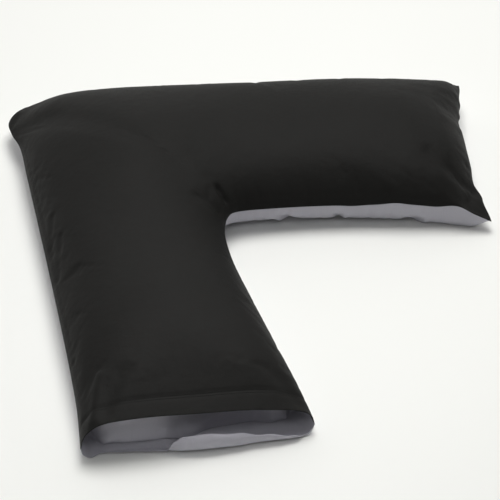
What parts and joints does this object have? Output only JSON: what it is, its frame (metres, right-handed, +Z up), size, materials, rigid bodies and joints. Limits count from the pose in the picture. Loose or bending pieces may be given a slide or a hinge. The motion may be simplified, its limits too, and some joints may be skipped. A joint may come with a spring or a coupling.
{
  "type": "v shaped pillow",
  "caption": "V-shaped support pillow in a cotton case, black in front and grey behind, with a tucked-in flap in its open end.",
  "frame": {"origin": "on the flat underside, under the wide corner where the two legs meet", "axes": "+X along the leg whose end is sewn shut, -Y along the leg whose end is open, +Z up out of the black front"},
  "size_m": [0.7664, 0.8103, 0.1406],
  "materials": {
    "front_cloth": "black plain-weave cotton, matt",
    "back_cloth": "light grey plain-weave cotton with a faint purple tint, matt",
    "flap_cloth": "light grey plain-weave cotton with a faint purple tint, matt"
  },
  "bodies": {
    "root": {"front_panel": "front_cloth", "back_panel": "back_cloth", "end_flap": "flap_cloth"}
  },
  "joints": []
}
